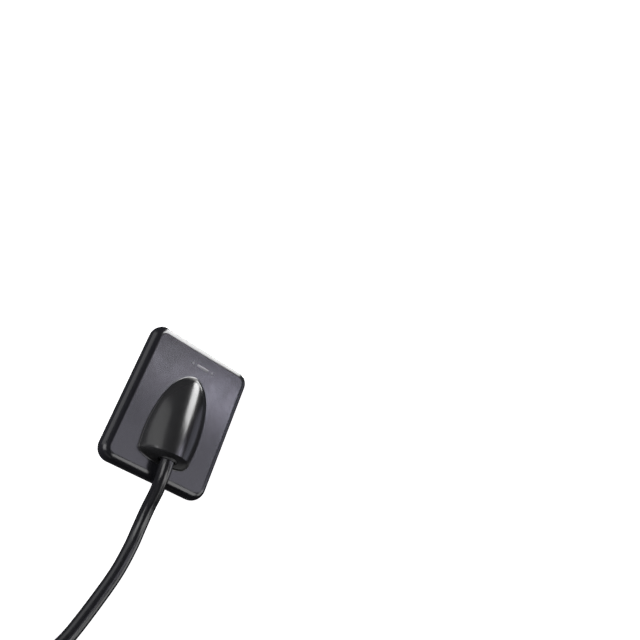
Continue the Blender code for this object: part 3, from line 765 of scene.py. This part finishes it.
def cap_cover(finish):
    """The push-on cap, with grip ribs cut into its sides and a rounded closed end."""
    outer = Vector((USB_WIDTH, 0, USB_HEIGHT)) + Vector((1, 0, 1)) * 2 * (CAP_WALL + CAP_GAP)
    bm = rounded_slab(outer.x, outer.z, 0, CAP_LENGTH, 1.4 * MM, 10)
    step_face(bm, level_face(bm, False), CAP_WALL, CAP_LENGTH - 1.2 * MM)
    round_rim(bm, CAP_LENGTH, 0.7 * MM, 6)
    bmesh.ops.rotate(bm, cent=(0, 0, 0), matrix=Matrix.Rotation(-math.pi / 2, 3, "X"),
                     verts=bm.verts)
    at = PLUG_AT + Vector((0, CAP_START, 0))
    made = piece("cap_moulding", mesh_from(bm, "cap_moulding", 50), finish, body="cap",
                 replaces=("plug_cap",), place=Matrix.Translation(at))
    cutters = []
    for side in (-1, 1):
        for k in range(5):
            cutters.append(box_cutter((0.6 * MM, 0.55 * MM, 4.0 * MM), at + Vector((
                side * (outer.x / 2 + 0.05 * MM), (4.2 + 1.35 * k) * MM, 0)), 0.15 * MM))
    carve(made, cutters)
    keep_flats_flat(made)


def strap(finish):
    """The hook-and-loop strap round the hank's waist, a layer of weave over a foam-soft edge,
    and its free end pressed down over it."""
    half = HANK_WAIST + HANK_REACH + TIE_GAP
    low, high = HANK_LIFT - TIE_GAP, HANK_LIFT + HANK_HEIGHT + TIE_GAP
    bm = bmesh.new()
    sections = [(-0.5, 0.12), (-0.47, 0.0), (0.47, 0.0), (0.5, 0.12)]
    loops = []
    for inner in (False, True):
        for across, shy in (sections if not inner else sections[::-1]):
            out = 0.0 if inner else TIE_THICK
            shift = (shy * MM) * (1 if inner else -1)
            corner = 0.8 * MM if inner else 1.4 * MM
            reach_x, bottom, top = half + out + shift, low - out - shift, high + out + shift
            ring = []
            for cx, cz, first in ((1, top, 0), (-1, top, 90), (-1, bottom, 180), (1, bottom, 270)):
                for k in range(7):
                    turn = math.radians(first + 15 * k)
                    centre_z = cz - corner if cz == top else cz + corner
                    ring.append(bm.verts.new((cx * (reach_x - corner) + corner * math.cos(turn),
                                              across * TIE_WIDTH,
                                              centre_z + corner * math.sin(turn))))
            loops.append(ring)
    count = len(loops[0])
    for a, b in zip(loops, loops[1:] + loops[:1]):
        for k in range(count):
            after = (k + 1) % count
            bm.faces.new((a[k], a[after], b[after], b[k]))
    piece("strap_loop", mesh_from(bm, "strap_loop", 50), finish,
          replaces=("cable_tie",), place=Matrix.Translation(HANK_CENTRE))
    bm = rounded_slab(10.5 * MM, TIE_WIDTH * 0.98, 0, 0.6 * MM, 1.6 * MM, 8)
    round_rim(bm, 0.6 * MM, 0.2 * MM, 3)
    piece("strap_end", mesh_from(bm, "strap_end", 50), finish,
          place=Matrix.Translation(HANK_CENTRE + Vector((1.2 * MM, 0, high + TIE_THICK - 0.02 * MM))))


# ---- finishes -------------------------------------------------------------------------------

def rubber(name, colour, roughness):
    """Jacket or boot rubber: very fine drawn grain and slightly worn patches."""
    nodes = Nodes(name)
    nodes.give(nodes.shader, "Base Color", nodes.blend(
        nodes.between(nodes.noise(6 * MM, 3.0), 0.0, 1.0), tint(colour, 0.9), tint(colour, 1.1)))
    fine = nodes.noise(0.25 * MM, 3.0)
    nodes.give(nodes.shader, "Roughness", nodes.between(nodes.noise(2 * MM, 4.0),
                                                        roughness - 0.04, roughness + 0.05))
    nodes.bump(fine, 0.006 * MM)
    return nodes.material


def weave(name, colour):
    """Hook-and-loop fabric: rows of tiny loops in two directions."""
    nodes = Nodes(name)
    rows = []
    for turn in ((1, 0, 1), (0, 1, 0)):
        where = nodes.place(tuple(t / (1.1 * MM) + 0.001 for t in turn))
        wave = nodes.add("ShaderNodeTexWave", {"bands_direction": "DIAGONAL"}, Vector=where,
                         Scale=1.0, Distortion=1.5)
        rows.append(wave.outputs["Fac"])
    height = nodes.times(rows[0], rows[1])
    nodes.give(nodes.shader, "Base Color", nodes.blend(height, tint(colour, 0.6),
                                                       tint(colour, 1.7)))
    nodes.shader.inputs["Roughness"].default_value = 0.9
    nodes.bump(nodes.sum(height, nodes.noise(0.2 * MM)), 0.08 * MM)
    return nodes.material


def metal(name, colour, roughness, streaks=(1.0, 0.03, 1.0)):
    """Plated sheet with fine drawing marks along Y."""
    nodes = Nodes(name)
    where = nodes.place(tuple(s / (0.3 * MM) for s in streaks))
    marks = nodes.noise(1.0, 3.0, 0.6, where)
    nodes.give(nodes.shader, "Base Color", nodes.blend(marks, tint(colour, 0.92),
                                                       tint(colour, 1.05)))
    nodes.shader.inputs["Metallic"].default_value = 1.0
    nodes.give(nodes.shader, "Roughness", nodes.between(marks, roughness - 0.05,
                                                        roughness + 0.08))
    nodes.bump(marks, 0.003 * MM)
    return nodes.material


def speckled(name, low, high, size, roughness, metallic=0.0, depth=0.004 * MM):
    """Two tones in grains of this size, for boards, ceramic, foam and coatings."""
    nodes = Nodes(name)
    grains = nodes.noise(size, 4.0, 0.6)
    nodes.give(nodes.shader, "Base Color", nodes.blend(nodes.between(grains, 0.0, 1.0),
                                                       (*low, 1.0), (*high, 1.0)))
    nodes.give(nodes.shader, "Roughness", nodes.between(grains, roughness - 0.05,
                                                        roughness + 0.05))
    nodes.shader.inputs["Metallic"].default_value = metallic
    nodes.bump(grains, depth)
    return nodes.material


def glass():
    nodes = Nodes("fibre_glass")
    grains = nodes.noise(0.4 * MM, 2.0)
    nodes.give(nodes.shader, "Roughness", nodes.between(grains, 0.05, 0.12))
    nodes.shader.inputs["Base Color"].default_value = (0.62, 0.70, 0.74, 1.0)
    nodes.shader.inputs["Transmission Weight"].default_value = 0.6
    nodes.shader.inputs["IOR"].default_value = 1.52
    return nodes.material


def finishes():
    """One finish for each material slot of the record."""
    wires = {"wire_red": (0.52, 0.02, 0.02), "wire_black": (0.015, 0.015, 0.016),
             "wire_green": (0.02, 0.28, 0.06), "wire_white": (0.78, 0.78, 0.77)}
    made = {
        "head_plastic": plastic("head_plastic", HEAD_COLOUR, HEAD_ROUGH),
        "dome_plastic": plastic("dome_plastic", DOME_COLOUR, DOME_ROUGH),
        "cable_jacket": rubber("cable_jacket", (0.010, 0.010, 0.012), 0.21),
        "black_rubber": rubber("black_rubber", (0.010, 0.010, 0.011), 0.55),
        "plug_plastic": plastic("plug_plastic", (0.020, 0.020, 0.022), 0.42, depth=0.010 * MM),
        "foam": speckled("foam", (0.07, 0.07, 0.075), (0.12, 0.12, 0.13), 0.25 * MM, 0.9,
                         depth=0.03 * MM),
        "scintillator": speckled("scintillator", (0.82, 0.82, 0.76), (0.88, 0.88, 0.82),
                                 0.1 * MM, 0.8),
        "fibre_glass": glass(),
        "silicon": speckled("silicon", (0.13, 0.12, 0.18), (0.20, 0.17, 0.24), 2 * MM, 0.12,
                            0.7),
        "circuit_board": speckled("circuit_board", (0.012, 0.13, 0.055), (0.02, 0.18, 0.08),
                                  0.8 * MM, 0.35),
        "chip_black": speckled("chip_black", (0.012, 0.012, 0.013), (0.020, 0.020, 0.021),
                               0.06 * MM, 0.7),
        "ceramic": speckled("ceramic", (0.55, 0.45, 0.34), (0.66, 0.56, 0.44), 0.1 * MM, 0.6),
        "lead_foil": speckled("lead_foil", (0.30, 0.31, 0.33), (0.42, 0.43, 0.45), 1.5 * MM,
                              0.45, 1.0, 0.02 * MM),
        "steel": metal("steel", (0.62, 0.61, 0.60), 0.26),
        "gold": metal("gold", (0.85, 0.62, 0.25), 0.24),
        "tie_fabric": weave("tie_fabric", (0.018, 0.018, 0.020)),
    }
    for name, colour in wires.items():
        made[name] = rubber(name, colour, 0.45)
    return made


def dress_frame(made):
    """Give every CAD node that stays visible its slot's finish."""
    slots = {part["node"]: part["material_slot"] for part in frame["record"]["subparts"]}
    for name, node in frame["nodes"].items():
        finish = made[slots[name]]
        if node.data.materials:
            for k in range(len(node.data.materials)):
                node.data.materials[k] = finish
        else:
            node.data.materials.append(finish)


# ---- floor and lights -----------------------------------------------------------------------

def floor():
    bm = bmesh.new()
    bmesh.ops.create_grid(bm, x_segments=1, y_segments=1, size=2.5)
    mesh = bpy.data.meshes.new("floor")
    bm.to_mesh(mesh)
    bm.free()
    made = bpy.data.objects.new("floor", mesh)
    nodes = Nodes("floor")
    nodes.shader.inputs["Base Color"].default_value = (0.93, 0.93, 0.93, 1.0)
    nodes.shader.inputs["Roughness"].default_value = 0.9
    nodes.shader.inputs["Emission Color"].default_value = WHITE
    nodes.shader.inputs["Emission Strength"].default_value = 1.0
    mesh.materials.append(nodes.material)
    made.visible_glossy = False
    made.visible_diffuse = False
    made.visible_shadow = False
    scene.collection.objects.link(made)


def world():
    """A white backdrop, weak for diffuse light and nearly black where gloss mirrors it."""
    made = bpy.data.worlds.new("studio")
    made.use_nodes = True
    tree = made.node_tree
    bright = tree.nodes["Background"]
    bright.inputs["Color"].default_value = WHITE
    bright.inputs["Strength"].default_value = 0.12
    dark = tree.nodes.new("ShaderNodeBackground")
    dark.inputs["Color"].default_value = (0.05, 0.05, 0.055, 1.0)
    rays = tree.nodes.new("ShaderNodeLightPath")
    mixed = tree.nodes.new("ShaderNodeMixShader")
    tree.links.new(rays.outputs["Is Glossy Ray"], mixed.inputs["Fac"])
    tree.links.new(bright.outputs[0], mixed.inputs[1])
    tree.links.new(dark.outputs[0], mixed.inputs[2])
    backdrop = tree.nodes.new("ShaderNodeBackground")
    backdrop.inputs["Color"].default_value = WHITE
    shown = tree.nodes.new("ShaderNodeMixShader")
    tree.links.new(rays.outputs["Is Camera Ray"], shown.inputs["Fac"])
    tree.links.new(mixed.outputs[0], shown.inputs[1])
    tree.links.new(backdrop.outputs[0], shown.inputs[2])
    tree.links.new(shown.outputs[0], tree.nodes["World Output"].inputs["Surface"])
    scene.world = made
    scene.view_settings.view_transform = "Standard"


def lamp(name, width, height, radiance, colour):
    """An area light that the camera doesn't see and that shows only in reflections."""
    data = bpy.data.lights.new(name, "AREA")
    data.shape = "RECTANGLE"
    data.size, data.size_y = width, height
    data.energy = radiance * math.pi * width * height
    data.color = colour
    made = bpy.data.objects.new(name, data)
    made.visible_camera = False
    made.visible_diffuse = False
    scene.collection.objects.link(made)
    return made


def card(name, direction, distance, width, height, radiance, colour=(1, 1, 1)):
    """A light seen from the head in this direction, with its height towards the zenith."""
    made = lamp(name, width, height, radiance, colour)
    back = Vector(direction).normalized()
    side = Vector((0, 0, 1)).cross(back).normalized()
    turn = Matrix((side, back.cross(side), back)).transposed().to_4x4()
    made.matrix_world = Matrix.Translation(Vector((0, 0, 8 * MM)) + back * distance) @ turn
    return made


def ceiling(name, x0, x1, y0, y1, high, radiance, colour):
    """A level panel this high, between these places."""
    made = lamp(name, x1 - x0, y1 - y0, radiance, colour)
    made.location = ((x0 + x1) / 2, (y0 + y1) / 2, high)


def lights():
    ceiling("plate_sky", 0.06, 0.58, 0.00, 0.27, 0.60, 1.05, VIOLET)
    ceiling("near_sky", 0.06, 0.58, 0.00, 0.150, 0.58, 1.24, VIOLET)
    ceiling("band_left", 0.17, 0.27, 0.206, 0.236, 0.56, 8.2, VIOLET)
    ceiling("band_right", 0.27, 0.54, 0.204, 0.236, 0.56, 12.5, DEEP_VIOLET)
    card("streak", (0.25, 0.80, 0.44), 0.5, 0.23, 0.50, 15.5)
    card("far_rim", (0.41, 0.76, -0.42), 0.5, 0.26, 0.34, 9.5)
    card("left_card", (-0.95, 0.22, 0.09), 0.5, 0.40, 0.42, 1.05)
    card("right_card", (0.93, 0.28, 0.22), 0.5, 0.34, 0.30, 0.8, (0.9, 0.9, 1.1))
    card("cable_right", (0.46, -0.40, 0.80), 0.5, 0.24, 0.28, 3.8)
    card("cable_low", (0.86, -0.12, 0.42), 0.5, 0.26, 0.26, 2.6)
    card("cable_left", (-0.82, -0.34, 0.46), 0.5, 0.26, 0.30, 3.6)
    card("near_card", (-0.1, -0.90, 0.42), 0.6, 0.5, 0.2, 0.30)
    fill = card("left_fill", (-0.94, 0.05, 0.28), 0.6, 0.5, 0.5, 6.5)
    fill.visible_diffuse = True
    fill.visible_glossy = False


camera()
FINISHES = finishes()
MARK = plastic("mark_paint", (0.20, 0.20, 0.22), 0.4)
dress_frame(FINISHES)
LEAD = sensor_lead(FINISHES["cable_jacket"])
head_shells(FINISHES["head_plastic"])
raised_mark(MARK)
cable_dome(FINISHES["dome_plastic"])
grommet(FINISHES["black_rubber"])
boot(FINISHES["black_rubber"])
plug_halves(FINISHES["plug_plastic"])
usb_metal(FINISHES["steel"])
cap_cover(FINISHES["plug_plastic"])
strap(FINISHES["tie_fabric"])
floor()
world()
lights()
